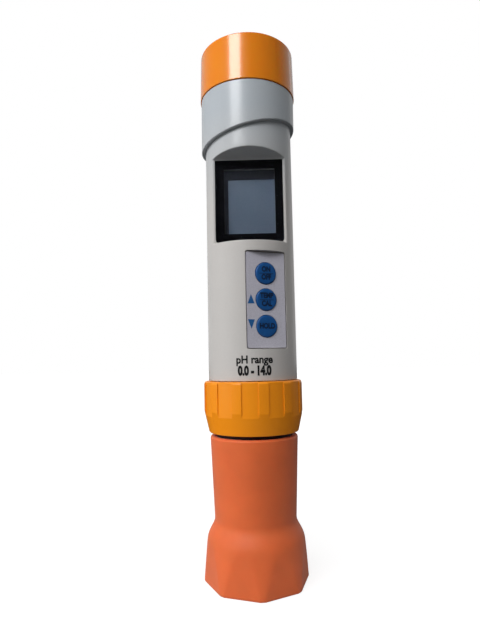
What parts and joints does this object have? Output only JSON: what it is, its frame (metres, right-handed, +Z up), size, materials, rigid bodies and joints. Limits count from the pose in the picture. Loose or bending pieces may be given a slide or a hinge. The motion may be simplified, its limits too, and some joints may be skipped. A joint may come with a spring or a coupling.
{
  "type": "ph tester",
  "caption": "Pen-shaped pH tester with display, keypad, screw-off battery cap, fluted collar and pull-off storage cap with a flared octagonal foot.",
  "frame": {"origin": "centre of the bottom face of the storage cap's foot", "axes": "+Z up along the barrel, the display faces -Y, the keypad is turned towards +X"},
  "size_m": [0.0356, 0.0356, 0.185],
  "materials": {
    "housing_plastic": "fine satin",
    "window_clear": "polished",
    "border_print": "printed film",
    "frame_plastic": "satin",
    "lcd_glass": "polarised glass",
    "contact_rubber": "matte",
    "label_print": "printed film",
    "switch_plastic": "satin",
    "board_laminate": "solder mask",
    "tinned_copper": "tinned",
    "carrier_plastic": "satin",
    "screw_steel": "zinc plated",
    "chip_epoxy": "moulded",
    "component_ceramic": "fired",
    "contact_metal": "nickel plated",
    "cell_steel": "polished",
    "cap_plastic": "gloss",
    "seal_rubber": "matte",
    "button_plastic": "satin",
    "sensor_plastic": "satin",
    "pin_gold": "gold plated",
    "electrode_glass": "polished",
    "wire_silver": "drawn",
    "probe_steel": "polished",
    "junction_ceramic": "porous",
    "collar_plastic": "satin",
    "storage_plastic": "soft satin",
    "sponge_foam": "open cell"
  },
  "bodies": {
    "housing": {"main_housing": "housing_plastic", "display_window": "window_clear", "window_border": "border_print", "lcd_frame": "frame_plastic", "lcd_glass": "lcd_glass", "contact_strip_upper": "contact_rubber", "contact_strip_lower": "contact_rubber", "keypad_label": "label_print", "switch_on_off": "switch_plastic", "switch_temp_cal": "switch_plastic", "switch_hold": "switch_plastic", "key_board": "board_laminate", "key_leads": "tinned_copper", "circuit_board": "board_laminate", "board_carrier": "carrier_plastic", "board_screws": "screw_steel", "controller_chip": "chip_epoxy", "amplifier_chip": "chip_epoxy", "board_components": "component_ceramic", "connector_socket": "switch_plastic", "battery_tube": "carrier_plastic", "lower_contact": "contact_metal", "battery_spring": "contact_metal", "side_contact": "contact_metal"},
    "cell_stack": {"battery_cell_1": "cell_steel", "battery_cell_2": "cell_steel", "battery_cell_3": "cell_steel"},
    "battery_cap": {"battery_cap": "cap_plastic", "battery_cap_seal": "seal_rubber", "cap_contact": "contact_metal"},
    "button_on_off": {"button_on_off": "button_plastic", "switch_plunger_on_off": "switch_plastic"},
    "button_temp_cal": {"button_temp_cal": "button_plastic", "switch_plunger_temp_cal": "switch_plastic"},
    "button_hold": {"button_hold": "button_plastic", "switch_plunger_hold": "switch_plastic"},
    "sensor": {"sensor_body": "sensor_plastic", "sensor_seal": "seal_rubber", "storage_cap_seal": "seal_rubber", "connector_pins": "pin_gold", "probe_guard": "sensor_plastic", "glass_electrode": "electrode_glass", "electrode_wire": "wire_silver", "temperature_probe": "probe_steel", "reference_junction": "junction_ceramic"},
    "sensor_collar": {"sensor_collar": "collar_plastic"},
    "storage_cap": {"storage_cap": "storage_plastic", "storage_sponge": "sponge_foam"}
  },
  "joints": [
    {"name": "battery_cap_rise", "type": "slide", "parent": "housing", "child": "cell_stack", "axis": [0, 0, 1], "range_m": [0, 0.0045], "deforming": ["battery_spring"]},
    {"name": "battery_cap_turn", "type": "hinge", "parent": "cell_stack", "child": "battery_cap", "pos_m": [0, 0, 0.165], "axis": [0, 0, 1], "range_deg": [0, 1080]},
    {"name": "sensor_drop", "type": "slide", "parent": "housing", "child": "sensor", "axis": [0, 0, -1], "range_m": [0, 0.006]},
    {"name": "collar_turn", "type": "hinge", "parent": "sensor", "child": "sensor_collar", "pos_m": [0, 0, 0.058], "axis": [0, 0, -1], "range_deg": [0, 1080]},
    {"name": "storage_cap_pull", "type": "slide", "parent": "sensor", "child": "storage_cap", "axis": [0, 0, -1], "range_m": [0, 0.05]},
    {"name": "press_on_off", "type": "slide", "parent": "housing", "child": "button_on_off", "axis": [-0.3616, 0.9323, 0], "range_m": [0, 0.0004], "stiffness_N_per_m": 400, "springref_m": -0.0005},
    {"name": "press_temp_cal", "type": "slide", "parent": "housing", "child": "button_temp_cal", "axis": [-0.3616, 0.9323, 0], "range_m": [0, 0.0004], "stiffness_N_per_m": 400, "springref_m": -0.0005},
    {"name": "press_hold", "type": "slide", "parent": "housing", "child": "button_hold", "axis": [-0.3616, 0.9323, 0], "range_m": [0, 0.0004], "stiffness_N_per_m": 400, "springref_m": -0.0005}
  ],
  "couplings": [
    {"joint": "battery_cap_turn", "follows": "battery_cap_rise", "rad_per_m": 4188.7},
    {"joint": "collar_turn", "follows": "sensor_drop", "rad_per_m": 3141.5}
  ]
}
